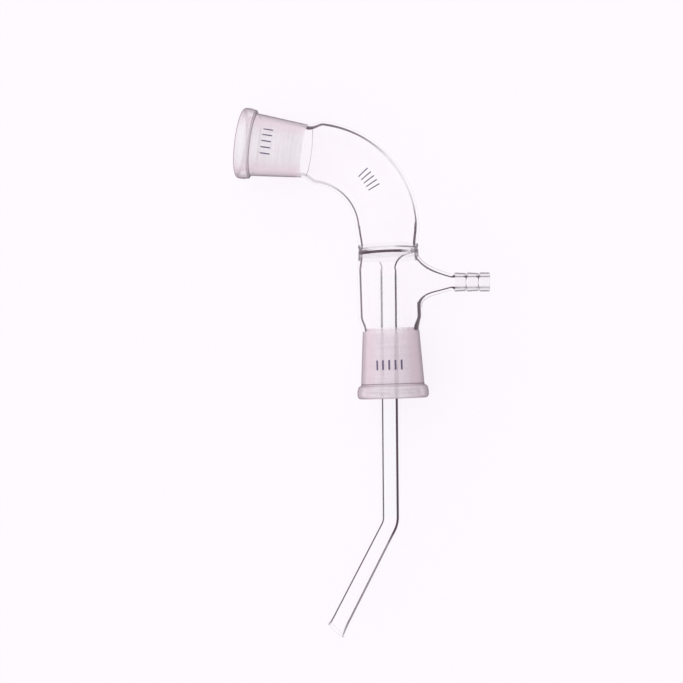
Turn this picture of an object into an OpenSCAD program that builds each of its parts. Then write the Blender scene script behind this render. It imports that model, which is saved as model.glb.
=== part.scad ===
// Bent vacuum take-off adapter, blown as one piece of glass tube.
// Vapour enters at the inlet socket, runs round the bend and leaves through the drip tube, which is
// ring-sealed inside the jacket. The jacket carries the hose arm and ends in the receiver socket.
// The adapter lies in the X-Y plane with its jacket along +Y. The origin is the centre of the
// receiver socket's mouth, and the whole is tipped a little so that it lies at rest on a floor below.

/* [Ground sockets] */
// Bore of a ground socket at its mouth
mouth_d = 24; // [20:0.5:26]
// Length of the ground taper
ground_len = 29; // [26:1:32]
// Diameter lost along each unit of length in the ground taper
taper = 0.1; // [0.08:0.01:0.12]
// Width across the collar round a mouth
collar_d = 31.2; // [30.5:0.1:34]
// Height of the collar
collar_h = 6.2; // [5:0.1:8]
// Width of a socket where it leaves its collar
root_d = 27.7; // [27:0.1:29]
// Width across the narrow end of the receiver socket
receiver_waist_d = 24.8; // [24:0.1:26]
// Width across the narrow end of the inlet socket
inlet_waist_d = 23.4; // [23:0.1:25]

/* [Tube] */
// Width across the jacket and the bend
tube_d = 28; // [27:0.1:29]
// Wall of the jacket and the bend
tube_wall = 1.4; // [1.2:0.1:1.8]

/* [Jacket] */
// Height of the jacket's lower end, where it takes its full width
jacket_foot_y = 36; // [34:0.5:37]
// Height of the jacket's upper end, where it starts to draw in to the seal
jacket_head_y = 56; // [55:0.5:57]

/* [Ring seal] */
// Height of the floor that closes the bend above the jacket
seal_y = 63.8; // [62:0.1:65]
// Width across the glass at the seal
seal_d = 26.3; // [25.5:0.1:27]
// Wall of the tube at the seal
seal_wall = 1.75; // [1.5:0.05:2]
// Depth of the groove that runs round the glass above the seal
seal_groove = 0.25; // [0.1:0.05:0.4]

/* [Bend] */
// Height at which the bend starts
bend_y = 75; // [73:0.5:80]
// Radius of the bend along the tube's centre
bend_r = 34.5; // [32:0.5:45]
// Angle that the bend turns through
bend_angle = 80; // [60:1:90]
// Distance from the end of the bend to the inlet socket's mouth
inlet_len = 36.1; // [36:0.1:45]

/* [Drip tube] */
// Width across the drip tube
drip_d = 9; // [8:0.1:10]
// Wall of the drip tube
drip_wall = 1.4; // [1:0.1:1.6]
// Distance from the seal down to the drip tube's corner
drip_len = 117.8; // [100:0.1:140]
// Lean of the drip tube from the jacket's own line, toward the inlet side
drip_lean = 1.45; // [0:0.05:1.6]
// Angle that the corner turns through
corner_angle = 27.5; // [15:0.5:45]
// Radius of the corner along the tube's centre
corner_r = 10; // [8:0.5:20]
// Distance from the corner to the middle of the tip
tip_len = 52.6; // [30:0.1:70]
// Width across the drip tube at its tip
tip_d = 9.6; // [9:0.1:10]
// Slope of the cut across the tip, from square
tip_cut = 15; // [0:1:30]

/* [Hose arm] */
// Height at which the hose arm's line crosses the middle of the jacket
arm_y = 50.8; // [48:0.1:51]
// Fall of the hose arm from square to the jacket
arm_droop = 2; // [0:0.5:3]
// Distance from the jacket's middle to the end of the hose arm
arm_reach = 43.7; // [43:0.1:50]
// Bore of the hose arm
arm_bore_d = 4.8; // [4:0.1:5.2]
// Width across the hose ridges and the land at the end
ridge_d = 8.3; // [8:0.1:8.6]
// Width across the grooves between the ridges
groove_d = 7.2; // [7:0.1:7.5]
// Length of the straight land at the end of the arm
land_len = 4.1; // [3.5:0.1:5]
// Distance from one ridge to the next
ridge_pitch = 5.4; // [5:0.1:5.5]

/* [Hidden] */

$fn = 96;

// A straight wall that meets the end of an arc of tube reaches a little over it, and is a hair
// thicker there, so that the two fuse.
weld_len = 0.3;
weld = 0.03;

tube_r = tube_d / 2;
tube_bore_r = tube_r - tube_wall;
seal_r = seal_d / 2;
seal_bore_r = seal_r - seal_wall;
drip_r = drip_d / 2;
drip_bore_r = drip_r - drip_wall;
collar_r = collar_d / 2;
mouth_r = mouth_d / 2;
ground_end_r = mouth_r - taper * ground_len / 2;

// The rim: a flat mouth, a rounded band and a short shoulder down to the socket's own wall.
rim_round = 1.6;                // rounding of the collar's edge at the mouth
rim_lip = 0.4;                  // chamfer at the mouth of the bore
shoulder_h = 1.2;               // height of the collar's sloping shoulder
shoulder_in = 0.4;              // how far the band falls back before the shoulder

// The seal: the drip tube flares out like a trumpet until it meets the wall of the tube.
flare_h = 7.2;                  // height of the flare on the vapour side
flare_wall = 1.2;               // wall of the flare at its rim
seal_lift = 1.3;                // height of the groove's middle above the seal's floor
groove_w = 2;                   // width of the groove

// The hose arm: a cone drawn out of the jacket, then the ridged nipple.
land_u = arm_reach - land_len;          // where the straight land starts
first_ridge_u = land_u - 2 * ridge_pitch;
lead_in = 1.7;                  // groove between the cone and the first ridge
nipple_u = first_ridge_u - lead_in;     // where the cone ends and the nipple starts
cone_slope = 0.42;              // radius gained by the cone for each unit toward the jacket
cone_root_u = 6;                // where the cone ends, well inside the jacket's wall
bore_slope = 0.4;               // radius gained by the bore for each unit toward the jacket
ridge_rise = 0.7;               // length of the steep side of a ridge
ridge_fall = 0.3;               // how far a ridge falls away toward the tip
arm_edge = 0.3;                 // rounding of the arm's end

// At rest both collars and the outside of the bend touch the floor. The adapter tips about the
// line through the collars' bands until the bend, which is thinner, comes down to the floor too.
inlet_out = [-sin(bend_angle), cos(bend_angle)];
bend_mid = [-bend_r, bend_y];
bend_end = bend_mid + bend_r * [cos(bend_angle), sin(bend_angle)];
receiver_foot = [0, collar_h / 2];
inlet_foot = bend_end + (inlet_len - collar_h / 2) * inlet_out;
chord = (inlet_foot - receiver_foot) / norm(inlet_foot - receiver_foot);
elbow_reach = bend_r + cross(bend_mid - receiver_foot, chord);
rest_tilt = asin((collar_r - tube_r) / elbow_reach);

steps = 12;                     // points along each curved stretch of a section

// Points of an even S-curve from radius r0 at height y0 to radius r1 at height y1.
function ease(t) = t * t * (3 - 2 * t);
function s_curve(r0, y0, r1, y1) =
    [for (i = [0:steps]) [r0 + (r1 - r0) * ease(i / steps), y0 + (y1 - y0) * i / steps]];

// Points of a quarter ellipse that starts straight up from [r0, y0] and ends level at [r1, y1].
function quarter(r0, y0, r1, y1) =
    [for (i = [0:steps]) [r1 - (r1 - r0) * cos(90 * i / steps), y0 + (y1 - y0) * sin(90 * i / steps)]];

function reversed(points) = [for (i = [len(points) - 1:-1:0]) points[i]];

// A ground socket's section: radius and distance from its mouth.
function rim_outside() = [
    [collar_r - rim_round, 0],
    for (a = [15:15:90]) [collar_r - rim_round * (1 - sin(a)), rim_round * (1 - cos(a))],
    [collar_r, collar_h / 2],
    [collar_r - shoulder_in, collar_h - shoulder_h],
    [root_d / 2, collar_h]
];
function socket_outside(waist_d) = concat(rim_outside(), [[waist_d / 2, ground_len]]);
function socket_bore() = [
    [mouth_r + rim_lip, 0],
    [mouth_r - taper * rim_lip / 2, rim_lip],
    [ground_end_r, ground_len]
];

// Outside and bore of the long straight stretch: receiver socket, jacket, seal, foot of the bend.
groove_y = seal_y + seal_lift;
function trunk_outside() = concat(
    socket_outside(receiver_waist_d),
    s_curve(receiver_waist_d / 2, ground_len + 0.2, tube_r, jacket_foot_y),
    s_curve(tube_r, jacket_head_y, seal_r, seal_y - 1),
    s_curve(seal_r, groove_y - groove_w / 2, seal_r - seal_groove, groove_y),
    s_curve(seal_r - seal_groove, groove_y + 0.1, seal_r, groove_y + groove_w / 2),
    s_curve(seal_r, groove_y + groove_w / 2 + 0.1, tube_r, bend_y)
);
function jacket_bore() = concat(
    s_curve(ground_end_r, ground_len + 0.8, tube_bore_r, jacket_foot_y),
    s_curve(tube_bore_r, jacket_head_y, seal_bore_r, seal_y - 1)
);
function trunk_bore() = concat(
    socket_bore(),
    jacket_bore(),
    s_curve(seal_bore_r, groove_y, tube_bore_r, bend_y)
);

// The solid of revolution about +Y of a wall between two runs of [radius, height].
module wall(outside, bore) {
    rotate([-90, 0, 0])
        rotate_extrude()
            polygon(concat(outside, reversed(bore)));
}

module ring_section(r_out, r_in) {
    difference() {
        circle(r_out);
        circle(r_in);
    }
}

// An arc of tube that starts at the origin along +Y and turns toward -X.
module tube_arc(radius, angle, r_out, r_in) {
    translate([-radius, 0, 0])
        rotate_extrude(angle = angle)
            translate([radius, 0])
                ring_section(r_out, r_in);
}

// Moves its children to the end of such an arc.
module at_arc_end(radius, angle) {
    translate([-radius, 0, 0])
        rotate([0, 0, angle])
            translate([radius, 0, 0])
                children();
}

// Receiver socket, jacket and the foot of the bend in one wall.
module trunk() {
    wall(trunk_outside(), trunk_bore());
}

// The room inside the jacket, which the hose arm must not fill.
module jacket_room() {
    rotate([-90, 0, 0])
        rotate_extrude()
            polygon(concat([[0, ground_len + 0.8]], jacket_bore(), [[seal_bore_r, seal_y], [0, seal_y]]));
}

// The hose arm lies along +X before it is turned to its place.
module along_arm() {
    translate([0, arm_y, 0])
        rotate([0, 90, -arm_droop])
            children();
}

module arm_outside() {
    groove_r = groove_d / 2;
    ridge_r = ridge_d / 2;
    ridges = [for (u = [first_ridge_u:ridge_pitch:land_u - 1]) each [
        [groove_r, u - ridge_rise],
        [ridge_r, u],
        [ridge_r - ridge_fall, u + ridge_pitch - ridge_rise - 0.2]
    ]];
    along_arm()
        rotate_extrude()
            polygon(concat(
                [[0, cone_root_u], [groove_r + cone_slope * (nipple_u - cone_root_u), cone_root_u]],
                [[groove_r, nipple_u]],
                ridges,
                [[groove_r, land_u - ridge_rise], [ridge_r, land_u]],
                [[ridge_r, arm_reach - arm_edge], [ridge_r - arm_edge, arm_reach], [0, arm_reach]]
            ));
}

module arm_bore() {
    bore_r = arm_bore_d / 2;
    root_u = tube_bore_r - 4;
    along_arm()
        rotate_extrude()
            polygon([
                [0, root_u],
                [bore_r + bore_slope * (nipple_u - root_u), root_u],
                [bore_r, nipple_u],
                [bore_r, arm_reach + 1],
                [0, arm_reach + 1]
            ]);
}

module trunk_with_arm() {
    difference() {
        union() {
            trunk();
            difference() {
                arm_outside();
                jacket_room();
            }
        }
        arm_bore();
    }
}

module bend() {
    translate([0, bend_y, 0])
        tube_arc(bend_r, bend_angle, tube_r, tube_bore_r);
}

// The inlet socket's section runs from its mouth back to the bend.
module inlet() {
    outside = concat(
        socket_outside(inlet_waist_d),
        s_curve(inlet_waist_d / 2, ground_len + 0.4, tube_r + weld, inlet_len - 1),
        [[tube_r + weld, inlet_len + weld_len]]
    );
    bore = concat(
        socket_bore(),
        s_curve(ground_end_r, ground_len + 1, tube_bore_r - weld, inlet_len - 1),
        [[tube_bore_r - weld, inlet_len + weld_len]]
    );
    translate([0, bend_y, 0])
        at_arc_end(bend_r, bend_angle)
            translate([0, inlet_len, 0])
                mirror([0, 1, 0])
                    wall(outside, bore);
}

// The drip tube, drawn downward from the seal's floor at the origin: trumpet, straight run,
// corner and the slanting leg with its oblique tip.
module drip_tube() {
    rim_r = (seal_r + seal_bore_r) / 2;
    run = drip_len - corner_r * tan(corner_angle / 2);
    vapour_side = quarter(drip_bore_r, -flare_h, rim_r, 0);
    jacket_side = quarter(drip_r, -flare_h - flare_wall / 2, rim_r, -flare_wall);
    wall(concat([[drip_r, -run]], jacket_side), concat([[drip_bore_r, -run]], vapour_side));
    translate([0, -run, 0])
        mirror([0, 1, 0]) {
            tube_arc(corner_r, corner_angle, drip_r, drip_bore_r);
            at_arc_end(corner_r, corner_angle)
                drip_leg(tip_len - corner_r * tan(corner_angle / 2));
        }
}

// A slightly widening tube along +Y, cut off at a slant that leaves its +X side longer.
module drip_leg(length) {
    tip_r = tip_d / 2;
    spare = tip_r * tan(tip_cut) + 1;
    widen = (tip_r - drip_r) / length;
    end_y = length + spare;
    end_r = drip_r + widen * end_y;
    difference() {
        wall(
            [[drip_r + weld, -weld_len], [end_r, end_y]],
            [[drip_bore_r - weld, -weld_len], [end_r - drip_wall, end_y]]
        );
        translate([0, length, 0])
            rotate([0, 0, tip_cut])
                translate([-tip_d, 0, -tip_d])
                    cube(2 * tip_d);
    }
}

module adapter() {
    color([0.93, 0.91, 0.94, 0.5])
        rotate(a = rest_tilt, v = [chord[0], chord[1], 0]) {
            trunk_with_arm();
            bend();
            inlet();
            translate([0, seal_y, 0])
                rotate([0, 0, -drip_lean])
                    drip_tube();
        }
}

adapter();
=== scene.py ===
import math

import bmesh
import bpy
from mathutils import Matrix, Vector


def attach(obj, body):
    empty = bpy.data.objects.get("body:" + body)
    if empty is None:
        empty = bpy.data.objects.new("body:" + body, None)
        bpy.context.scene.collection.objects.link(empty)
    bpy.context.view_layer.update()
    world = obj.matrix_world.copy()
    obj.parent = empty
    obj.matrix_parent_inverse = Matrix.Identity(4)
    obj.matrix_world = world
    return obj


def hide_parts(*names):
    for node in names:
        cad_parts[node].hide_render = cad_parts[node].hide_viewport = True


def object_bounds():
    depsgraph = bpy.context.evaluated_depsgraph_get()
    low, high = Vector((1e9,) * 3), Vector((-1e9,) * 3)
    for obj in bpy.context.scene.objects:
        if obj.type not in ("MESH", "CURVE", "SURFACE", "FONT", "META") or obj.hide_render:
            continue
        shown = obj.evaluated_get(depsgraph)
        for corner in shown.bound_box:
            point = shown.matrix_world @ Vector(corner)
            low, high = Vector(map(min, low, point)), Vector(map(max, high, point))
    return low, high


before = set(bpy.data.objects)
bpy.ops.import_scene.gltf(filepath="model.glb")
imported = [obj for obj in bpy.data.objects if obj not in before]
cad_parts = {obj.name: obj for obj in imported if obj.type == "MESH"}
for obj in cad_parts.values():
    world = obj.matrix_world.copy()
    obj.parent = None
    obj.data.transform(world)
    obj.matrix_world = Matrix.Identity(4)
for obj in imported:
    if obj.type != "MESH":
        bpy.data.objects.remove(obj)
cad_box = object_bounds()

# ---------------------------------------------------------------- sizes of the adapter, in millimetres
MM = 0.001
AROUND = 96                     # faces round every tube

GAP = 0.01                      # keeps the smooth glass inside the solid, whose rounds are made of flats

MOUTH_R = 12.0
GROUND_LEN = 29.0
TAPER = 0.1
GROUND_END_R = MOUTH_R - TAPER * GROUND_LEN / 2
COLLAR_R = 15.6 - GAP
COLLAR_H = 6.2
ROOT_R = 13.85
RECEIVER_WAIST_R = 12.4
INLET_WAIST_R = 11.7
RIM_ROUND = 1.6
RIM_LIP = 0.4
SHOULDER_H = 1.2
INLET_SHOULDER_H = 0.55
SHOULDER_IN = 0.4

GLASS_WALL = 1.4                # of the jacket, the bend and the drip tube
TUBE_R = 14.0 - GAP
BORE_R = 12.6
JACKET_FOOT = 36.0
JACKET_HEAD = 56.0
SEAL_Y = 63.8
SEAL_R = 13.15
SEAL_WALL = 1.75
SEAL_BORE_R = SEAL_R - SEAL_WALL
SEAL_RIM_R = (SEAL_R + SEAL_BORE_R) / 2
GROOVE = 0.25
GROOVE_Y = SEAL_Y + 1.3
GROOVE_W = 2.0

BEND_Y = 75.0
BEND_R = 34.5
BEND_TURN = math.radians(80)
INLET_LEN = 36.1

DRIP_R = 4.5
DRIP_BORE_R = DRIP_R - GLASS_WALL
TIP_R = 4.8
DRIP_LEN = 117.8
DRIP_LEAN = math.radians(1.45)
CORNER = math.radians(27.5)
CORNER_R = 10.0
TIP_LEN = 52.6
TIP_CUT = math.radians(15)
FLARE_H = 7.2
FLARE_WALL = 1.2

ARM_Y = 50.8
ARM_DROOP = math.radians(2)
ARM_REACH = 43.7
ARM_BORE_R = 2.4
RIDGE_R = 4.15
GROOVE_R = 3.6
LAND_LEN = 4.1
RIDGE_PITCH = 5.4
LEAD_IN = 1.7
LAND_U = ARM_REACH - LAND_LEN
FIRST_RIDGE_U = LAND_U - 2 * RIDGE_PITCH
NIPPLE_U = FIRST_RIDGE_U - LEAD_IN
GROOVE_BACK = 0.75              # how far before a ridge's crest its groove lies

# ---------------------------------------------------------------- where the adapter lies
# It rests on both collars and on the outside of the bend, so it is tipped a little about the
# line through the collars.
INLET_OUT = Vector((-math.sin(BEND_TURN), math.cos(BEND_TURN)))
BEND_MID = Vector((-BEND_R, BEND_Y))
BEND_END = BEND_MID + BEND_R * Vector((math.cos(BEND_TURN), math.sin(BEND_TURN)))
RECEIVER_FOOT = Vector((0, COLLAR_H / 2))
INLET_FOOT = BEND_END + (INLET_LEN - COLLAR_H / 2) * INLET_OUT
CHORD = (INLET_FOOT - RECEIVER_FOOT).normalized()
ELBOW = BEND_MID - RECEIVER_FOOT
ELBOW_REACH = BEND_R + ELBOW.x * CHORD.y - ELBOW.y * CHORD.x
REST = Matrix.Rotation(math.asin((COLLAR_R - TUBE_R) / ELBOW_REACH), 4, (CHORD.x, CHORD.y, 0))
TO_PLACE = REST @ Matrix.Scale(MM, 4)


# ---------------------------------------------------------------- shader helper
class Val:
    """A shader socket that Python's operators can be used on."""

    def __init__(self, tree, socket):
        self.tree, self.socket = tree, socket

    def op(self, kind, *others):
        node = self.tree.node("ShaderNodeMath", {"operation": kind})
        for slot, item in enumerate((self, *others)):
            self.tree.feed(node.inputs[slot], item)
        return Val(self.tree, node.outputs[0])

    def __add__(self, other):
        return self.op("ADD", other)

    def __mul__(self, other):
        return self.op("MULTIPLY", other)

    def __sub__(self, other):
        return self.op("SUBTRACT", other)

    def __pow__(self, other):
        return self.op("POWER", other)

    def __truediv__(self, other):
        return self.op("DIVIDE", other)

    def __abs__(self):
        return self.op("ABSOLUTE")

    def __rsub__(self, other):
        return (self * -1.0) + other

    __radd__ = __add__
    __rmul__ = __mul__


class Finish:
    """A material and the one method that adds nodes to it."""

    def __init__(self, name):
        self.material = bpy.data.materials.new(name)
        self.material.use_nodes = True
        self.nodes = self.material.node_tree.nodes
        self.links = self.material.node_tree.links
        self.nodes.clear()

    def feed(self, socket, item):
        if isinstance(item, Val):
            self.links.new(item.socket, socket)
        elif isinstance(item, bpy.types.NodeSocket):
            self.links.new(item, socket)
        else:
            socket.default_value = item

    def node(self, kind, settings=None, **inputs):
        made = self.nodes.new(kind)
        for key, value in (settings or {}).items():
            setattr(made, key, value)
        for key, item in inputs.items():
            self.feed(made.inputs[key.replace("_", " ")], item)
        return made

    def attribute(self, name, output):
        return Val(self, self.node("ShaderNodeAttribute", {"attribute_name": name}).outputs[output])

    def output(self, socket):
        self.feed(self.node("ShaderNodeOutputMaterial").inputs["Surface"], socket)
        return self.material

    def mix(self, factor, first, second):
        made = self.node("ShaderNodeMixShader")
        self.feed(made.inputs[0], factor)
        self.feed(made.inputs[1], first)
        self.feed(made.inputs[2], second)
        return made.outputs[0]

    def ramp(self, source, stops):
        made = self.node("ShaderNodeValToRGB")
        made.color_ramp.interpolation = "EASE"
        points = made.color_ramp.elements
        while len(points) < len(stops):
            points.new(0.5)
        for point, (place, level) in zip(points, stops):
            point.position = place
            point.color = (level, level, level, 1)
        self.feed(made.inputs["Fac"], source)
        return Val(self, made.outputs["Color"])


# Kept on the mesh: three numbers of the dark line of painted shade, which are its place and half its
# width as shares of the way across the tube, and its depth; and the direction that runs lengthwise on the
# tube.
LINE = ("line_place", "line_width", "line_shade_depth")
LENGTHWISE = "lengthwise"
LINE_FLAT = 2.4                 # above 1, so the line is full dark in its middle
LINE_FALL = 1.9                 # how fast it falls off beyond that, for each half width
# The dark grey of the painted shade in the glass's lines and in the collar corners.
SHADE_PURPLE_GREY = (0.075, 0.040, 0.055)


def across_tube(made, facing):
    """How far a spot lies from the tube's middle line as it is seen: 0 on that line, 1 at the edge.
    A tube seen nearly end on turns its whole skin away, and this allows for it."""
    way = made.attribute(LENGTHWISE, "Vector").socket
    end_on = 1.0 - Val(made, made.node("ShaderNodeLayerWeight", Blend=0.5, Normal=way).outputs["Facing"])
    square_on = (1.0 - end_on * end_on).op("MAXIMUM", 0.02)
    toward = 1.0 - facing
    return (1.0 - toward * toward / square_on).op("MAXIMUM", 0.0).op("SQRT")


def clear_glass(name, veil, lined=True, gloss=0.25, steep=False, tint=(0.9992, 0.9980, 0.9990)):
    """See-through glass with a dark line where light can't get past the bore's edge. The veil is a
    ramp that darkens the wall toward the tube's edge, or where its skin turns away if it is steep.
    Both the line and the veil are painted shade, mixed in as a dark grey."""
    made = Finish(name)
    facing = Val(made, made.node("ShaderNodeLayerWeight", Blend=0.5).outputs["Facing"])
    if not lined:
        dim = made.ramp(facing, veil)
    else:
        across = across_tube(made, facing)
        dim = made.ramp(facing if steep else across, veil)
        # ink here is how deep the line's painted shade is, not print.
        place, width, ink = [made.attribute(item, "Fac") for item in LINE]
        falling = LINE_FLAT - abs(across - place) / width * LINE_FALL
        line = falling.op("MINIMUM", 1.0).op("MAXIMUM", 0.0) * ink
        dim = dim.op("MAXIMUM", line)
    clear = made.node("ShaderNodeBsdfTransparent", Color=(*tint, 1)).outputs[0]
    dark = made.node("ShaderNodeBsdfPrincipled", Base_Color=(*SHADE_PURPLE_GREY, 1), Roughness=0.4)
    dark.inputs["Specular IOR Level"].default_value = 0.2
    body = made.mix(dim, clear, dark.outputs[0])
    if not gloss:
        return made.output(body)
    shine = made.node("ShaderNodeBsdfGlossy", Color=(1, 1, 1, 1), Roughness=0.02).outputs[0]
    inside = Val(made, made.node("ShaderNodeNewGeometry").outputs["Backfacing"])
    strength = (facing ** 4.0 * gloss + 0.008) * (1.0 - inside)
    return made.output(made.mix(strength, body, shine))


def frosted_glass(name, light, blush, deep, cover, shade, turn=0.0, streaks=1.6):
    """Ground glass: a pale veil that thickens, warms and darkens where the wall turns away; the
    darkening is painted shade.
    Its grain is a fine speckle, with faint streaks round the socket from the grinding."""
    made = Finish(name)
    facing = Val(made, made.node("ShaderNodeLayerWeight", Blend=0.5).outputs["Facing"])
    spot = made.node("ShaderNodeTexCoord").outputs["Object"]
    lathe = made.node("ShaderNodeMapping", {"vector_type": "TEXTURE"}, Vector=spot, Rotation=(0, 0, turn),
                      Scale=(1 / 60, 1 / 1000, 1 / 60)).outputs["Vector"]
    cloud = Val(made, made.node("ShaderNodeTexNoise", Vector=spot, Scale=160.0, Detail=3.0).outputs["Fac"])
    grain = made.node("ShaderNodeTexNoise", Vector=spot, Scale=2200.0, Detail=2.0).outputs["Fac"]
    streak = Val(made, made.node("ShaderNodeTexNoise", Vector=lathe, Scale=1.0, Detail=2.0).outputs["Fac"])
    tone = cloud * 0.30 + Val(made, grain) * 0.25 + streak * 0.45
    tone = ((tone - 0.5) * streaks + 0.5).op("MINIMUM", 1.0).op("MAXIMUM", 0.0)
    speckle = made.node("ShaderNodeMix", {"data_type": "RGBA"})
    made.feed(speckle.inputs["Factor"], tone)
    made.feed(speckle.inputs["A"], (*[c * (1 - 0.10 * streaks) for c in light], 1))
    made.feed(speckle.inputs["B"], (*[min(1.0, c * (1 + 0.08 * streaks)) for c in light], 1))
    warmed = made.node("ShaderNodeMix", {"data_type": "RGBA"})
    made.feed(warmed.inputs["Factor"], made.ramp(facing, [(0.08, 0.0), (0.36, 0.88 - 0.08 * streaks)]))
    made.feed(warmed.inputs["A"], speckle.outputs["Result"])
    made.feed(warmed.inputs["B"], (*blush, 1))
    bump = made.node("ShaderNodeBump", Strength=0.25, Distance=0.0001, Height=grain)
    clear = made.node("ShaderNodeBsdfTransparent", Color=(0.995, 0.985, 0.992, 1)).outputs[0]
    pale = made.node("ShaderNodeBsdfPrincipled", Base_Color=warmed.outputs["Result"], Roughness=0.5,
                     Normal=bump.outputs["Normal"])
    dark = made.node("ShaderNodeBsdfPrincipled", Base_Color=(*deep, 1), Roughness=0.5)
    for veil in (pale, dark):
        veil.inputs["Specular IOR Level"].default_value = 0.15
    frost = made.mix(made.ramp(facing, shade), pale.outputs[0], dark.outputs[0])
    return made.output(made.mix(made.ramp(facing, cover), clear, frost))


FROST = (0.885, 0.795, 0.86)
COLLAR_FROST = (1.0, 0.875, 0.95)
COLLAR_BLUSH = (0.74, 0.60, 0.67)
FROST_BLUSH = (0.80, 0.655, 0.72)
PALE_FROST = (0.97, 0.93, 0.99)
PALE_BLUSH = (0.95, 0.80, 0.875)
# Dark tone of the painted shade at the frost's outline and in the collar corners.
FROST_SHADE = (0.33, 0.265, 0.31)
COVER = [(0.0, 0.42), (0.45, 0.62), (0.75, 0.92), (1.0, 0.97)]
PALE_COVER = [(0.0, 0.30), (0.45, 0.50), (0.8, 0.88), (1.0, 0.95)]
BORE_SHADE = [(0.55, 0.0), (1.0, 0.4)]
OUTLINE = [(0.40, 0.0), (0.62, 0.55), (0.85, 0.95)]
PALE_OUTLINE = [(0.42, 0.0), (0.62, 0.45), (0.84, 1.0)]
# The same painted shade for the paler inlet socket.
PALE_FROST_SHADE = (0.27, 0.215, 0.25)
PALE_COLLAR_FROST = (1.0, 0.98, 1.0)
# A dark tone along the inlet's mouth edge: painted shade of its outline.
LIP_SHADE = (0.34, 0.265, 0.305)
LIP_H = 0.3                     # how far up its rounding the inlet's mouth edge is painted dark, as painted shade of its outline

tube = clear_glass("tube glass", [(0.985, 0.0), (1.0, 0.14)])
bore = clear_glass("bore glass", [(0.90, 0.0), (1.0, 0.15)], lined=False, gloss=0.0)
flare = clear_glass("flare glass", [(0.98, 0.0), (1.0, 0.05)], gloss=0.0)
seam = clear_glass("seal seam shade", [(0.96, 0.0), (1.0, 0.2)])
seal = clear_glass("seal glass", [(0.0, 0.03), (0.89, 0.05), (0.97, 0.75), (1.0, 0.95)])
drip = clear_glass("drip tube glass", [(0.985, 0.0), (1.0, 0.14)], tint=(0.987, 0.998, 0.996))
arm = clear_glass("hose arm glass", [(0.925, 0.0), (0.985, 0.22), (1.0, 0.40)])
taper_end_glass = clear_glass("taper end line", [(0.0, 0.30), (0.5, 0.45), (1.0, 0.6)], lined=False)
nipple_glass = clear_glass("nipple glass", [(0.0, 0.03), (0.78, 0.045), (0.91, 0.47), (1.0, 0.65)])
step_glass = clear_glass("ridge step glass", [(0.20, 0.0), (0.50, 0.06), (0.75, 0.45), (1.0, 0.85)],
                         steep=True)
faint_edge = clear_glass("faint edge", [(0.0, 0.08), (1.0, 0.18)], lined=False)
ground = frosted_glass("ground glass", FROST, FROST_BLUSH, FROST_SHADE, COVER, BORE_SHADE)
skin = frosted_glass("socket glass", FROST, FROST_BLUSH, FROST_SHADE, COVER, OUTLINE)
pale_ground = frosted_glass("inlet ground glass", PALE_FROST, PALE_BLUSH, FROST_SHADE, PALE_COVER,
                            BORE_SHADE, BEND_TURN)
pale_skin = frosted_glass("inlet socket glass", PALE_FROST, PALE_BLUSH, PALE_FROST_SHADE, PALE_COVER,
                          PALE_OUTLINE, BEND_TURN, streaks=2.2)
# A ring of painted shade in the corner where each collar meets its socket's wall.
corner_shade_glass = frosted_glass("collar corner shade glass", FROST_SHADE, FROST_SHADE, SHADE_PURPLE_GREY,
                             [(0.0, 0.75), (1.0, 0.9)], [(0.2, 0.0), (0.8, 0.6)])
collar = frosted_glass("collar glass", COLLAR_FROST, COLLAR_BLUSH, FROST_SHADE, COVER, OUTLINE,
                       streaks=3.6)
pale_collar = frosted_glass("inlet collar glass", PALE_COLLAR_FROST, PALE_BLUSH, PALE_FROST_SHADE, PALE_COVER,
                            PALE_OUTLINE, BEND_TURN, streaks=2.8)
pale_lip_shade = frosted_glass("inlet lip shade glass", LIP_SHADE, LIP_SHADE, PALE_FROST_SHADE, COVER, OUTLINE, BEND_TURN)
MATERIALS = [tube, bore, flare, seam, seal, drip, arm, collar, pale_collar, pale_lip_shade, taper_end_glass,
             nipple_glass, step_glass, faint_edge, ground, skin, pale_ground, pale_skin, corner_shade_glass]
(OUTER, BORE, FLARE, SEAM_SHADE, SEAL, DRIP, ARM, COLLAR, PALE_COLLAR, PALE_LIP_SHADE, TAPER_END_LINE,
 NIPPLE, RIDGE_STEP, FAINT_EDGE, GROUND, SKIN, PALE_GROUND, PALE_SKIN,
 COLLAR_CORNER_SHADE) = range(len(MATERIALS))


# ---------------------------------------------------------------- the dark line of painted shade at the bore's edge
def along(stops, spot):
    """Steps through (place, value, ...) stops in order, and blends the values between them."""
    for low, high in zip(stops, stops[1:]):
        if spot <= high[0]:
            share = max(0.0, (spot - low[0]) / (high[0] - low[0]))
            return [a + (b - a) * share for a, b in zip(low[1:], high[1:])]
    return list(stops[-1][1:])


def ease(t):
    return t * t * (3 - 2 * t)


class Line:
    """How the bore's edge shows as a line of painted shade: the wall it stands behind, and its width in
    millimetres and depth on the inlet's side and on the arm's side; the difference between the two sides
    is painted shade of the light's direction. With no wall it lies on the surface's own outline,
    and half its width is a share of the way across."""

    def __init__(self, wall_t, inlet_side, arm_side):
        self.wall_t, self.inlet_side, self.arm_side = wall_t, inlet_side, arm_side

    def at(self, radius, across, tilt=0.0):
        """The line's place, half width and depth. Across runs from 0 on the inlet's side to 1 on
        the arm's, and tilt is how far the surface leans from the tube's own line."""
        width, ink = [a + (b - a) * ease(across) for a, b in zip(self.inlet_side, self.arm_side)]
        if self.wall_t is None:
            return 1.0, width, ink
        share = (radius - self.wall_t) / radius
        depth = math.sqrt(1 - share * share)
        seen = depth * math.cos(tilt) / math.sqrt(1 - (depth * math.sin(tilt)) ** 2)
        return math.sqrt(1 - seen * seen), width / 2 / radius, ink


class Band:
    """A dark band of painted shade round the tube, whose depth changes across it."""

    def __init__(self, *stops):
        self.stops = stops

    def at(self, radius, across):
        return 1.0, 50.0, along(self.stops, across)[0]


# Painted shade: these widths and depths, and their change from side to side and place to place, follow how
# light falls on the adapter as it lies.
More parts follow.
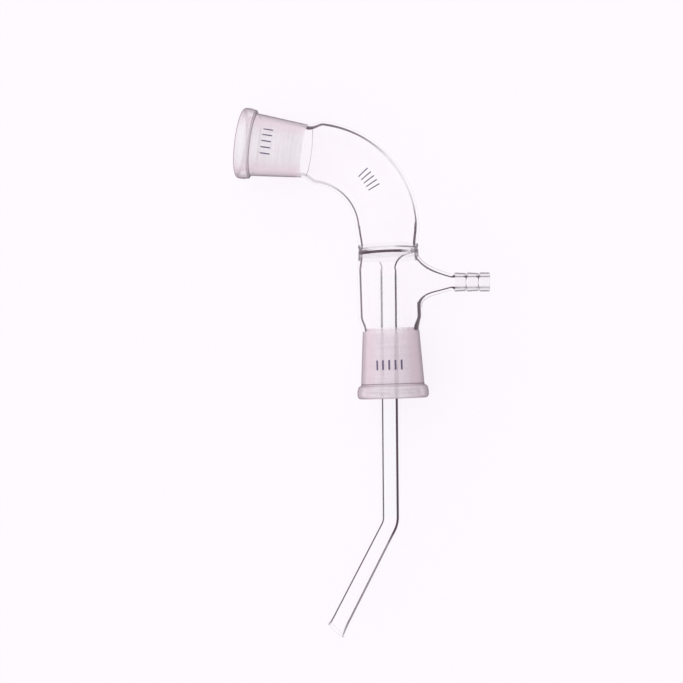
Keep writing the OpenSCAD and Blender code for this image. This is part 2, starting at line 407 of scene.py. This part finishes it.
TUBE_LINE = Line(GLASS_WALL, (0.80, 0.60), (0.80, 0.68))
RING_LINE = Line(0.45, (1.10, 0.95), (0.95, 0.85))
SEAL_LINE = Line(SEAL_WALL, (0.70, 0.70), (1.00, 0.80))
DRIP_LINE = Line(GLASS_WALL, (0.55, 0.70), (0.95, 0.93))
LEG_LINE = Line(GLASS_WALL, (0.52, 0.75), (0.85, 0.52))
SOFT_LINE = Line(GLASS_WALL, (1.6, 0.26), (1.9, 0.42))
SEAM_BAND = Band((0.0, 1.0), (0.72, 0.97), (0.80, 0.55), (0.86, 0.20), (0.90, 0.15), (0.94, 0.85),
                 (1.0, 0.95))
WEDGE_BAND = Band((0.0, 1.0), (0.08, 0.90), (0.18, 0.45), (0.30, 0.0), (0.90, 0.0), (0.94, 0.8),
                  (1.0, 0.95))
UPPER_BAND = Band((0.0, 0.7), (0.08, 0.55), (0.2, 0.20), (0.60, 0.16), (0.75, 0.70), (0.97, 0.70),
                  (1.0, 0.9))


def jacket_line(height):
    """Painted shade, heavy on the arm's side, and heaviest where it hooks in over the receiver socket."""
    hook = min(1.0, max(0.0, (34 - height) / 4))
    return Line(GLASS_WALL, (0.75, 0.64), (1.40 + 0.6 * hook, 0.88 + 0.1 * hook))


# Degrees round the bend, then the line's width and depth.
BEND_INSIDE = [(0, 0.62, 0.66), (35, 0.62, 0.58), (50, 0.70, 0.38), (60, 1.0, 0.17), (80, 1.3, 0.14)]
BEND_OUTSIDE = [(0, 0.80, 0.72), (5, 0.62, 0.55), (13, 0.8, 0.20), (24, 0.8, 0.10), (42, 1.3, 0.10),
                (52, 0.8, 0.38), (62, 0.78, 0.66), (80, 0.95, 0.76)]


def bend_line(turned):
    degrees = math.degrees(turned)
    return Line(GLASS_WALL, along(BEND_INSIDE, degrees), along(BEND_OUTSIDE, degrees))


def inner_line(depth):
    """The drip tube seen through the jacket: thin below the trumpet, then steady."""
    start = min(1.0, max(0.0, (FLARE_H + 4 - depth) / 4))
    return Line(GLASS_WALL, (0.85, 0.38 - 0.08 * start), (0.74 - 0.16 * start, 0.74))


def neck_line(distance):
    """The inlet's neck line is painted shade, dark on top where the clear tube meets the frosting."""
    near = min(1.0, max(0.0, (33 - distance) / 3))
    return Line(GLASS_WALL, (1.3, 0.15), (0.85 + 0.5 * near, 0.70 + 0.18 * near))


def flare_line(radius):
    """The line on the trumpet thins out as it opens, and is lost on the inlet's side."""
    opened = min(1.0, (radius - DRIP_BORE_R) / 5.0)
    inlet_side = (0.13, 0.55 * (1 - min(1.0, opened * 4)))
    return Line(None, inlet_side, (0.17 - 0.15 * opened, 0.85 - 0.45 * opened))


def root_line(step, psi):
    """Along the arm's trumpet the painted shade is heavy where it leaves the jacket's under side, and thin
    after that.
    """
    heavy = max(0.0, -math.cos(psi)) * max(0.0, 1 - step / 6)
    style = (0.55 + 0.75 * heavy, 0.72 + 0.16 * heavy)
    return Line(1.35, style, style)


def nipple_line(u, wall_t):
    """Along the nipple the bore's line of painted shade is darkest behind each groove, and more on the
    seal's side.
    """
    groove = max(0.0, 1 - min(abs(u - (LAND_U - GROOVE_BACK - RIDGE_PITCH * i)) for i in range(3)))
    first = max(0.0, 1 - abs(u - (FIRST_RIDGE_U - GROOVE_BACK)) / 1.6)
    inlet_side = (0.95, 0.24 + 0.25 * groove + 0.4 * first)
    return Line(wall_t, inlet_side, (0.60 + 0.5 * groove, 0.40 + 0.58 * groove))


# ---------------------------------------------------------------- the wall, ring by ring
def s_curve(r0, y0, r1, y1, steps=10):
    return [(r0 + (r1 - r0) * ease(i / steps), y0 + (y1 - y0) * i / steps) for i in range(steps + 1)]


def quarter(r0, y0, r1, y1, steps=18):
    turns = [math.pi / 2 * i / steps for i in range(steps + 1)]
    return [(r1 - (r1 - r0) * math.cos(a), y0 + (y1 - y0) * math.sin(a)) for a in turns]


def straight(r0, y0, r1, y1, steps):
    return [(r0 + (r1 - r0) * i / steps, y0 + (y1 - y0) * i / steps) for i in range(steps + 1)]


def rim(shoulder_h):
    """The collar's outside, from the flat of the mouth to the socket's own wall."""
    band = [(COLLAR_R - RIM_ROUND, GAP)]
    for step in range(1, 9):
        a = math.radians(90) * step / 8
        band.append((COLLAR_R - RIM_ROUND * (1 - math.sin(a)), GAP + RIM_ROUND * (1 - math.cos(a))))
    foot = COLLAR_H - shoulder_h
    band += s_curve(COLLAR_R, COLLAR_H / 2, COLLAR_R - SHOULDER_IN, foot, 8)
    band += s_curve(COLLAR_R - SHOULDER_IN - 0.15, foot + 0.12 * shoulder_h,
                    ROOT_R + 0.02, COLLAR_H - 0.1, 5)
    return band


def socket_outside(waist_r, collar, shoulder_h):
    edge = PALE_LIP_SHADE if collar == PALE_COLLAR else collar
    band = [(radius, height, edge if height < LIP_H else collar) for radius, height in rim(shoulder_h)]
    corner = [(ROOT_R, COLLAR_H, COLLAR_CORNER_SHADE), (ROOT_R - 0.03, COLLAR_H + 0.35, COLLAR_CORNER_SHADE)]
    return band + corner + straight(ROOT_R - 0.05, COLLAR_H + 0.6, waist_r, GROUND_LEN, 8)


SOCKET_BORE = [(MOUTH_R + RIM_LIP, 0.0), (MOUTH_R - TAPER * RIM_LIP / 2, RIM_LIP)] + straight(
    MOUTH_R - TAPER * 1.0 / 2, 1.0, GROUND_END_R, GROUND_LEN, 8)

SKIN_END = GROUND_LEN + 0.8     # the receiver's frosting runs a little past its ground taper outside
FROST_END = 30.6                # and further in its bore
CLEAR_BACK = 26.0               # the inlet's stops short of the taper's end on its under side
SEAL_LOW = SEAL_Y - 2.5         # the seal's own finish starts here
SEAL_HIGH = GROOVE_Y + 3        # and ends here


class Wall:
    """One skin of glass, drawn ring after ring: each ring is extruded from the last."""

    def __init__(self):
        self.mesh = bmesh.new()
        self.layers = [self.mesh.verts.layers.float.new(item) for item in LINE]
        self.way = self.mesh.verts.layers.float_vector.new(LENGTHWISE)
        self.ring = None
        self.rows = []          # (height, row of vertices) of the rings that the arm may cut

    def mark(self, vert, numbers, way):
        for layer, number in zip(self.layers, numbers):
            vert[layer] = number
        vert[self.way] = way

    def lay_ways_on_skin(self, turn):
        """Lays each lengthwise direction flat on the skin, and turns it as the adapter lies."""
        for vert in self.mesh.verts:
            way = vert[self.way]
            vert[self.way] = turn @ (way - vert.normal * way.dot(vert.normal)).normalized()

    def add(self, centre, up, radius, finish, slant=0.0, line=TUBE_LINE):
        """A ring round centre, square to up; slant leans its plane, as the cut at the tip."""
        across = Vector((-up.y, up.x, 0))
        along_tube = Vector((up.x, up.y, 0))
        middle = Vector((centre.x, centre.y, 0))
        places = []
        for i in range(AROUND):
            a = 2 * math.pi * i / AROUND
            reach = radius * math.cos(a)
            lift = along_tube * (reach * math.tan(slant))
            places.append(middle + across * reach + Vector((0, 0, radius * math.sin(a))) + lift)
        if self.ring is None:
            made = bmesh.ops.create_circle(self.mesh, segments=AROUND, radius=1)["verts"]
            for vert, place in zip(made, places):
                vert.co = place
            self.ring = made
        else:
            self.ring = extrude_ring(self.mesh, self.ring, places, finish)
        for i, vert in enumerate(self.ring):
            self.mark(vert, line.at(radius, (1 - math.cos(2 * math.pi * i / AROUND)) / 2), along_tube)
        return self.ring


def ring_edges(ring):
    pairs = zip(ring, ring[1:] + ring[:1])
    return [next(e for e in a.link_edges if e.other_vert(a) is b) for a, b in pairs]


def extrude_ring(mesh, ring, places, finish):
    """Extrudes a closed ring of vertices and sets the new ones at their places, in order.
    A pair of finishes is one for the upper side and one for the under side."""
    made = bmesh.ops.extrude_edge_only(mesh, edges=ring_edges(ring))["geom"]
    fresh = {item for item in made if isinstance(item, bmesh.types.BMVert)}
    out = []
    for vert, place in zip(ring, places):
        new = next(e.other_vert(vert) for e in vert.link_edges if e.other_vert(vert) in fresh)
        new.co = place
        out.append(new)
    upper, under = finish if isinstance(finish, tuple) else (finish, finish)
    for i, (a, b) in enumerate(zip(out, out[1:] + out[:1])):
        face = next(f for f in a.link_faces if b in f.verts)
        face.material_index = upper if i < len(out) // 2 else under
        face.smooth = True
    return out


UP = Vector((0, 1))
wall = Wall()


def up_trunk(profile, finish, keep=None, line=TUBE_LINE):
    for radius, height, *own in profile:
        style = line(height) if callable(line) else line
        ring = wall.add(Vector((0, height)), UP, radius, own[0] if own else finish, line=style)
        if keep is not None:
            keep.append((height, radius, ring))


def inlet_at(distance):
    """A point on the inlet's line, at a distance from its mouth."""
    return BEND_END + (INLET_LEN - distance) * INLET_OUT


def up_inlet(profile, finish):
    for radius, distance, *own in profile:
        wall.add(inlet_at(distance), INLET_OUT, radius, own[0] if own else finish, line=neck_line(distance))


def round_bend(radius, finish, forward):
    steps = [BEND_TURN * i / 40 for i in range(1, 40)]
    for a in (steps if forward else reversed(steps)):
        centre = BEND_MID + BEND_R * Vector((math.cos(a), math.sin(a)))
        wall.add(centre, Vector((-math.sin(a), math.cos(a))), radius, finish, line=bend_line(a))


DRIP_UP = Vector((math.sin(DRIP_LEAN), math.cos(DRIP_LEAN)))
RUN = DRIP_LEN - CORNER_R * math.tan(CORNER / 2)
LEG = TIP_LEN - CORNER_R * math.tan(CORNER / 2)


def drip_place(x, y):
    """A point of the drip tube's own plane, which hangs from the seal and leans."""
    turn = Matrix.Rotation(-DRIP_LEAN, 2)
    return Vector((0, SEAL_Y)) + turn @ Vector((x, y))


def drip_stations():
    """Centre, up direction, gain in radius and slant of each ring, from the corner to the tip."""
    turn = Matrix.Rotation(-DRIP_LEAN, 2)
    out = []
    for i in range(13):
        a = CORNER * i / 12
        spot = (-CORNER_R + CORNER_R * math.cos(a), -RUN - CORNER_R * math.sin(a))
        out.append((drip_place(*spot), turn @ Vector((math.sin(a), math.cos(a))), 0.0, 0.0))
    last, up = out[-1][0], out[-1][1]
    for i in range(1, 9):
        slant = TIP_CUT if i == 8 else 0.0
        out.append((last - up * (LEG * i / 8), up, (TIP_R - DRIP_R) * i / 8, slant))
    return out


outer_rows, inner_rows = [], []

# Outside: receiver socket, jacket, seal, bend and inlet socket.
up_trunk(socket_outside(RECEIVER_WAIST_R, COLLAR, SHOULDER_H), SKIN)
up_trunk([(r, y, SKIN if y < SKIN_END else OUTER)
          for r, y in s_curve(RECEIVER_WAIST_R, GROUND_LEN + 0.4, TUBE_R, JACKET_FOOT, 14)],
         OUTER, line=jacket_line)
HOLE_ROWS = [JACKET_FOOT + 1 + i for i in range(int(JACKET_HEAD - JACKET_FOOT) - 1)]
up_trunk([(TUBE_R, y) for y in HOLE_ROWS], OUTER, outer_rows, jacket_line)
up_trunk([(r, y, SEAL if y > SEAL_LOW else OUTER)
          for r, y in s_curve(TUBE_R, JACKET_HEAD, SEAL_R, SEAL_Y - 1, 7)], OUTER, outer_rows)
# Painted shade: dark bands round the ring seal, heavier on its sides than on top.
up_trunk(straight(SEAL_R, SEAL_Y - 0.8, SEAL_R, SEAL_Y + 0.2, 3),
         (SEAM_SHADE, FAINT_EDGE), line=SEAM_BAND)
up_trunk(straight(SEAL_R, SEAL_Y + 0.25, SEAL_R, SEAL_Y + 0.75, 2),
         (SEAM_SHADE, FAINT_EDGE), line=WEDGE_BAND)
up_trunk(s_curve(SEAL_R, SEAL_Y + 0.8, SEAL_R - GROOVE, GROOVE_Y - 0.05, 3), SEAL, line=RING_LINE)
up_trunk(straight(SEAL_R - GROOVE, GROOVE_Y, SEAL_R - GROOVE, GROOVE_Y + 0.6, 2),
         (SEAM_SHADE, FAINT_EDGE), line=UPPER_BAND)
up_trunk(s_curve(SEAL_R - GROOVE, GROOVE_Y + 0.62, SEAL_R, GROOVE_Y + GROOVE_W / 2, 4), SEAL, line=RING_LINE)
up_trunk([(r, y, SEAL if y < SEAL_HIGH else OUTER)
          for r, y in s_curve(SEAL_R, GROOVE_Y + GROOVE_W / 2 + 0.3, TUBE_R, BEND_Y)], OUTER, line=SEAL_LINE)
round_bend(TUBE_R, OUTER, True)
up_inlet(s_curve(TUBE_R, INLET_LEN - 0.2, INLET_WAIST_R, GROUND_LEN + 0.4, 16), OUTER)
for radius, distance, *own in reversed(socket_outside(INLET_WAIST_R, PALE_COLLAR, INLET_SHOULDER_H)):
    finish = (PALE_SKIN, OUTER) if distance > CLEAR_BACK else PALE_SKIN
    up_inlet([(radius, distance)], own[0] if own else finish)

# Vapour side: inlet bore, bend, seal, trumpet and the drip tube's bore down to the tip.
for radius, distance in SOCKET_BORE:
    up_inlet([(radius, distance)], (PALE_GROUND, BORE) if distance > CLEAR_BACK else PALE_GROUND)
up_inlet([(GROUND_END_R, GROUND_LEN + 1.6)], BORE)
# A faint grey line on the under side of the ring where the inlet's ground taper ends.
up_inlet([(GROUND_END_R + 0.02, GROUND_LEN + 2.0)], (BORE, TAPER_END_LINE))
up_inlet(s_curve(GROUND_END_R + 0.04, GROUND_LEN + 2.2, BORE_R, INLET_LEN - 0.2), BORE)
round_bend(BORE_R, BORE, False)
up_trunk(s_curve(BORE_R, BEND_Y, SEAL_BORE_R, GROOVE_Y), BORE)
for radius, depth in reversed(quarter(DRIP_BORE_R, -FLARE_H, SEAL_RIM_R, 0)):
    if radius < SEAL_BORE_R:
        wall.add(drip_place(0, depth), DRIP_UP, radius, FLARE, line=flare_line(radius))
for i in range(1, 24):
    wall.add(drip_place(0, -FLARE_H - (RUN - FLARE_H) * i / 24), DRIP_UP, DRIP_BORE_R, BORE)
for centre, up, gain, slant in drip_stations():
    wall.add(centre, up, DRIP_BORE_R + gain, BORE, slant)

# Jacket side: the drip tube's outside, the trumpet's underside, jacket and receiver bore.
for centre, up, gain, slant in reversed(drip_stations()):
    finish = FAINT_EDGE if slant else OUTER
    wall.add(centre, up, DRIP_R + gain, finish, slant, LEG_LINE if gain > 0 else DRIP_LINE)
under = quarter(DRIP_R, -FLARE_H - FLARE_WALL / 2, SEAL_RIM_R, -FLARE_WALL)
top = -under[0][1]
for i in range(47, 0, -1):
    depth = top + (RUN - top) * i / 48
    in_socket = 0 < SEAL_Y - depth < GROUND_LEN
    in_jacket = depth < SEAL_Y - GROUND_LEN
    style = SOFT_LINE if in_socket else inner_line(depth) if in_jacket else DRIP_LINE
    wall.add(drip_place(0, -depth), DRIP_UP, DRIP_R, DRIP, line=style)
for radius, depth in under:
    if radius < SEAL_BORE_R:
        finish = OUTER if radius < DRIP_R + 0.1 else BORE
        wall.add(drip_place(0, depth), DRIP_UP, radius, finish, line=inner_line(FLARE_H))
up_trunk(reversed(s_curve(BORE_R, JACKET_HEAD, SEAL_BORE_R, SEAL_Y - 1, 7)), BORE, inner_rows)
up_trunk([(BORE_R, y) for y in reversed(HOLE_ROWS)], BORE, inner_rows)
up_trunk(reversed([(r, y, GROUND if y < FROST_END else BORE)
                   for r, y in s_curve(GROUND_END_R, GROUND_LEN + 0.8, BORE_R, JACKET_FOOT, 14)]), BORE)
up_trunk(reversed(SOCKET_BORE), GROUND)
up_trunk([(COLLAR_R - RIM_ROUND, GAP)], SKIN)

# ---------------------------------------------------------------- the hose arm
# The same patch of faces is taken out of the jacket's outside and bore, and each rim is drawn
# out into the arm: first the trumpet that blends out of the jacket, then the ridged nipple.
ARM_MID_Y = ARM_Y - TUBE_R * math.sin(ARM_DROOP) - 0.1
PATCH = (11.6, 10.6, math.radians(53))          # rise, fall and half turn of the faces taken out
OUTER_RIM = (12.1, 11.0, math.radians(55))      # the same of the rim left in the outside
INNER_RIM = (12.1, 10.4, math.radians(51))       # and in the bore
ARM_LINE = Matrix.Translation((0, ARM_Y, 0)) @ Matrix.Rotation(-ARM_DROOP, 4, "Z")


def row_radius(rows, height):
    spots = sorted((h, r) for h, r, ring in rows)
    for (h0, r0), (h1, r1) in zip(spots, spots[1:]):
        if h0 <= height <= h1:
            return r0 + (r1 - r0) * (height - h0) / (h1 - h0)
    return spots[0][1] if height < spots[0][0] else spots[-1][1]


def polar(vert):
    """Angle round the jacket from the arm's side, and height."""
    return math.atan2(vert.co.z, vert.co.x), vert.co.y


def hole_reach(turn, height, shape):
    """How far out a spot lies from the hole's middle; 1 is on its rim."""
    rise = height - ARM_MID_Y
    return math.hypot(turn / shape[2], rise / (shape[0] if rise > 0 else shape[1]))


def open_hole(rows, shape):
    """Deletes the patch and returns the rim's vertices in order, spread evenly on its curve."""
    mesh = wall.mesh
    inside = set()
    ring_verts = {v for h, r, ring in rows for v in ring}
    faces = {f for v in ring_verts for f in v.link_faces if all(w in ring_verts for w in f.verts)}
    for face in faces:
        spots = [polar(v) for v in face.verts]
        turn = sum(s[0] for s in spots) / len(spots)
        height = sum(s[1] for s in spots) / len(spots)
        if max(abs(s[0]) for s in spots) < 2 and hole_reach(turn, height, PATCH) < 1:
            inside.add(face)
    bmesh.ops.delete(mesh, geom=list(inside), context="FACES")
    rim_verts = [v for v in ring_verts if v.is_valid and any(e.is_boundary for e in v.link_edges)]
    top_vert = max((v for v in rim_verts if abs(polar(v)[0]) < 0.02), key=lambda v: v.co.y)
    order, last = [top_vert], None
    while True:
        here = order[-1]
        steps = [e.other_vert(here) for e in here.link_edges if e.is_boundary]
        steps = [v for v in steps if v is not last]
        if last is None:
            steps.sort(key=lambda v: -v.co.z)
        if steps[0] is order[0]:
            break
        last = here
        order.append(steps[0])
    count = len(order)
    table = []
    length = 0.0
    for i in range(721):
        psi = 2 * math.pi * i / 720
        spot = rim_place(rows, psi, shape)
        if table:
            length += (spot - table[-1][2]).length
        table.append((psi, length, spot))
    angles = []
    for i in range(count):
        want = length * i / count
        j = next(k for k, t in enumerate(table) if t[1] >= want)
        angles.append(table[j][0])
    for vert, psi in zip(order, angles):
        vert.co = rim_place(rows, psi, shape)
    settle(rows, order, shape)
    return order, angles


def rim_place(rows, psi, shape):
    rise = shape[0] if math.cos(psi) > 0 else shape[1]
    height = ARM_MID_Y + rise * math.cos(psi)
    turn = shape[2] * math.sin(psi)
    r = row_radius(rows, height)
    return Vector((r * math.cos(turn), height, r * math.sin(turn)))


def settle(rows, rim_ring, shape):
    """Evens out the jacket's vertices near the rim, which stay on the jacket's surface."""
    fixed = set(rim_ring)
    lows, highs = min(r[0] for r in rows), max(r[0] for r in rows)
    near = []
    for height, r, ring in rows:
        if lows < height < highs:
            near += [v for v in ring if v.is_valid and v not in fixed and v.link_faces
                     and hole_reach(*polar(v), shape) < 1.45 and abs(polar(v)[0]) < 2]
    for _ in range(12):
        moved = []
        for vert in near:
            others = [e.other_vert(vert) for e in vert.link_edges]
            spot = sum((o.co for o in others), Vector()) / len(others)
            turn, height = math.atan2(spot.z, spot.x), spot.y
            r = row_radius(rows, height)
            moved.append(Vector((r * math.cos(turn), height, r * math.sin(turn))))
        for vert, spot in zip(near, moved):
            vert.co = spot


OUTER_SLOPE = 0.30              # radius gained toward the jacket where the trumpet meets the nipple
BORE_SLOPE = 0.32               # the same in the bore
TRUMPET_STEPS = 16
SEAL_SPREAD = 0.45              # how much the trumpet's top leans out as it leaves the seal


def arm_place(u, radius, psi):
    return ARM_LINE @ Vector((u, radius * math.cos(psi), radius * math.sin(psi)))


def trumpet(start, psi, nipple_r, slope):
    """Points from the jacket's rim to the nipple, leaving the jacket along its own surface."""
    turn = math.atan2(start.z, start.x)
    inward = -(Vector((-math.sin(turn), 0, math.cos(turn))) * math.sin(psi) + Vector((0, math.cos(psi), 0)))
    inward += Vector((SEAL_SPREAD * max(0.0, math.cos(psi)) ** 2, 0, 0))
    end = arm_place(NIPPLE_U, nipple_r, psi)
    back = (arm_place(NIPPLE_U - 10, nipple_r + 10 * slope, psi) - end).normalized()
    pull = 3.0 + 2.0 * abs(math.sin(psi)) + 1.6 * max(0.0, -math.cos(psi))
    hold = (end - start).length * 0.62
    a, b, c, d = start, start + inward * pull, end + back * hold, end
    out = []
    for i in range(1, TRUMPET_STEPS + 1):
        t = i / TRUMPET_STEPS
        out.append(a * (1 - t) ** 3 + b * (3 * t * (1 - t) ** 2) + c * (3 * t * t * (1 - t)) + d * t ** 3)
    return out


def draw_arm(rim_ring, angles, nipple_r, slope, profile, wide, thin):
    runs = [trumpet(v.co.copy(), psi, nipple_r, slope) for v, psi in zip(rim_ring, angles)]
    ring = rim_ring
    for step in range(TRUMPET_STEPS):
        last = [vert.co.copy() for vert in ring]
        ring = extrude_ring(wall.mesh, ring, [run[step] for run in runs], wide)
        for vert, run, old, psi in zip(ring, runs, last, angles):
            on_arm = ARM_LINE.inverted() @ vert.co
            numbers = root_line(step, psi).at(math.hypot(on_arm.y, on_arm.z), 0)
            wall.mark(vert, numbers, (run[step] - old).normalized())
    for i, (u, radius, *own) in enumerate(profile):
        spots = [arm_place(u, radius, psi) for psi in angles]
        ring = extrude_ring(wall.mesh, ring, spots, own[0] if own else thin)
        before, after = profile[max(i - 1, 0)], profile[min(i + 1, len(profile) - 1)]
        tilt = math.atan2(abs(after[1] - before[1]), after[0] - before[0])
        line = nipple_line(u, max(radius - ARM_BORE_R, 0.1))
        for vert, psi in zip(ring, angles):
            wall.mark(vert, line.at(radius, (1 + math.cos(psi)) / 2, min(tilt, 1.2)), ARM_LINE.col[0].xyz)


def ridge(u, end, fall):
    """One hose ridge: a steep rise from the groove, then a slow fall away toward the tip."""
    return [(u - 0.7, GROOVE_R, RIDGE_STEP), (u - 0.45, GROOVE_R + 0.12, RIDGE_STEP),
            (u - 0.15, RIDGE_R - 0.08, RIDGE_STEP), (u, RIDGE_R, RIDGE_STEP), (u + 0.25, RIDGE_R - 0.01),
            (end - 1.1, RIDGE_R - fall * 0.6), (end - 0.25, RIDGE_R - fall * 0.8), (end, RIDGE_R - fall)]


nipple = []
for step in range(2):
    u = FIRST_RIDGE_U + step * RIDGE_PITCH
    nipple += ridge(u, u + RIDGE_PITCH - 0.95, 0.3)
nipple += ridge(LAND_U, ARM_REACH - 0.4, 0.0)
nipple[0] = (*nipple[0][:2], OUTER)
nipple += [(ARM_REACH - 0.12, RIDGE_R - 0.12, RIDGE_STEP), (ARM_REACH, RIDGE_R - 0.4, RIDGE_STEP)]
nipple += [(ARM_REACH, ARM_BORE_R)]
bore_run = [(NIPPLE_U + (ARM_REACH - NIPPLE_U) * i / 8, ARM_BORE_R) for i in range(1, 9)]

outer_rim, angles = open_hole(outer_rows, OUTER_RIM)
inner_rim = open_hole(inner_rows, INNER_RIM)[0]
draw_arm(outer_rim, angles, GROOVE_R, OUTER_SLOPE, nipple, ARM, NIPPLE)
draw_arm(inner_rim, angles, ARM_BORE_R, BORE_SLOPE, bore_run, BORE, BORE)


def number_by_place(mesh):
    """Numbers vertices, edges and faces by where they lie, so that every run gives the same mesh."""
    for i, vert in enumerate(sorted(mesh.verts, key=lambda v: v.co[:])):
        vert.index = i
    mesh.verts.sort()
    for items in (mesh.edges, mesh.faces):
        for i, item in enumerate(sorted(items, key=lambda e: sorted(v.index for v in e.verts))):
            item.index = i
        items.sort()


bmesh.ops.remove_doubles(wall.mesh, verts=wall.mesh.verts, dist=0.002)
bmesh.ops.recalc_face_normals(wall.mesh, faces=wall.mesh.faces)
for face in wall.mesh.faces:
    face.smooth = True
number_by_place(wall.mesh)
wall.mesh.normal_update()
wall.lay_ways_on_skin(REST.to_3x3())
bmesh.ops.transform(wall.mesh, matrix=TO_PLACE, verts=wall.mesh.verts)

data = bpy.data.meshes.new("glass")
wall.mesh.to_mesh(data)
wall.mesh.free()
for material in MATERIALS:
    data.materials.append(material)
data.set_sharp_from_angle(angle=math.radians(50))
glass = bpy.data.objects.new("glass_wall", data)
bpy.context.scene.collection.objects.link(glass)
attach(glass, "root")
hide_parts("adapter")

# ---------------------------------------------------------------- plain printed dashes
PRINT_LIFT = 0.03               # how far the enamel stands off the glass


def dash(mesh, spot_of, middle, size):
    """A dash of enamel: a fine grid that spot_of lays on the glass, square to its own two sides."""
    made = bmesh.ops.create_grid(mesh, x_segments=6, y_segments=6, size=0.5)["verts"]
    for vert in made:
        vert.co = spot_of(middle[0] + vert.co.x * size[0], middle[1] + vert.co.y * size[1])


def on_tube(centre, up, radius, arc):
    """A spot on the upper side of a ring: arc is the way round it from the top, toward -across."""
    across = Vector((-up.y, up.x, 0))
    a = arc / radius
    lift = radius + PRINT_LIFT
    middle = Vector((centre.x, centre.y, 0))
    return middle - across * (lift * math.sin(a)) + Vector((0, 0, lift * math.cos(a)))


def on_receiver(arc, height):
    share = (height - COLLAR_H) / (GROUND_LEN - COLLAR_H)
    radius = ROOT_R + (RECEIVER_WAIST_R - ROOT_R) * share
    return on_tube(Vector((0, height)), UP, radius, arc)


def on_inlet(arc, distance):
    share = (distance - COLLAR_H) / (GROUND_LEN - COLLAR_H)
    radius = ROOT_R + (INLET_WAIST_R - ROOT_R) * share
    return on_tube(inlet_at(distance), INLET_OUT, radius, arc)


def on_bend(arc, way):
    a = way / BEND_R
    centre = BEND_MID + BEND_R * Vector((math.cos(a), math.sin(a)))
    return on_tube(centre, Vector((-math.sin(a), math.cos(a))), TUBE_R, arc)


enamel = Finish("blue enamel")
ink = enamel.node("ShaderNodeBsdfPrincipled", Base_Color=(0.105, 0.082, 0.160, 1), Roughness=0.5)
blue_enamel = enamel.output(ink.outputs[0])


def printed(name, spot_of, places, size):
    mesh = bmesh.new()
    for place in places:
        dash(mesh, spot_of, place, size)
    bmesh.ops.transform(mesh, matrix=TO_PLACE, verts=mesh.verts)
    for face in mesh.faces:
        face.normal_update()
        if face.normal.z < 0:
            face.normal_flip()
    made = bpy.data.meshes.new(name)
    mesh.to_mesh(made)
    mesh.free()
    made.materials.append(blue_enamel)
    piece = bpy.data.objects.new(name, made)
    bpy.context.scene.collection.objects.link(piece)
    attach(piece, "root")


FIVE = (-2, -1, 0, 1, 2)
SOCKET_PITCH = 2.7
BEND_PITCH = 2.0
DASH_LEN = 4.2
printed("receiver_dashes", on_receiver, [(-0.6 + SOCKET_PITCH * i, 14.5) for i in FIVE], (0.8, DASH_LEN))
printed("inlet_dashes", on_inlet, [(0.3 + SOCKET_PITCH * i, 13.6) for i in FIVE], (0.55, DASH_LEN))
printed("bend_dashes", on_bend, [(-0.5, 21.0 + BEND_PITCH * i) for i in FIVE], (5.5, 0.48))

# ---------------------------------------------------------------- floor, light and camera
floor_z = cad_box[0].z
floor_mesh = bmesh.new()
bmesh.ops.create_grid(floor_mesh, x_segments=1, y_segments=1, size=6)
bmesh.ops.translate(floor_mesh, vec=(0, 0, floor_z), verts=floor_mesh.verts)
floor_data = bpy.data.meshes.new("floor")
floor_mesh.to_mesh(floor_data)
floor_mesh.free()
floor = bpy.data.objects.new("floor", floor_data)
bpy.context.scene.collection.objects.link(floor)
paper = Finish("white paper")
sheet = paper.node("ShaderNodeBsdfPrincipled", Base_Color=(0.14, 0.137, 0.144, 1), Roughness=1.0,
                   Emission_Color=(0.852, 0.811, 0.85, 1), Emission_Strength=1.0)
sheet.inputs["Specular IOR Level"].default_value = 0.0
floor_data.materials.append(paper.output(sheet.outputs[0]))

world = bpy.data.worlds.new("studio")
bpy.context.scene.world = world
world.use_nodes = True
world.node_tree.nodes["Background"].inputs["Color"].default_value = (1, 0.997, 1, 1)
world.node_tree.nodes["Background"].inputs["Strength"].default_value = 0.52

sun = bpy.data.lights.new("overhead", "SUN")
sun.energy = 1.80
sun.angle = math.radians(100)
overhead = bpy.data.objects.new("overhead", sun)
overhead.rotation_euler = (math.radians(-6), math.radians(-24), 0)
bpy.context.scene.collection.objects.link(overhead)

camera_data = bpy.data.cameras.new("camera")
camera = bpy.data.objects.new("camera", camera_data)
bpy.context.scene.collection.objects.link(camera)
bpy.context.scene.camera = camera
camera_data.lens = 74.51
camera_data.sensor_width = 36
camera_data.clip_start = 0.01
camera_data.clip_end = 50
EYE = Vector((0.05299, 0.01935, 0.61572))
AIM = Vector((-0.02187, 0.02565, 0.00028))
CAMERA_UP = Vector((0.03596, 0.99934, 0.00586))
back = (EYE - AIM).normalized()
right = CAMERA_UP.cross(back).normalized()
above = back.cross(right)
camera.matrix_world = Matrix.Translation(EYE) @ Matrix((right, above, back)).transposed().to_4x4()

# Light that reaches the floor inside the jacket crosses more than the usual eight skins of glass.
bpy.context.scene.cycles.transparent_max_bounces = 40
bpy.context.scene.cycles.max_bounces = 24
bpy.context.scene.cycles.transmission_bounces = 16

view_settings = bpy.context.scene.view_settings
view_settings.view_transform = "Standard"
view_settings.look = "None"
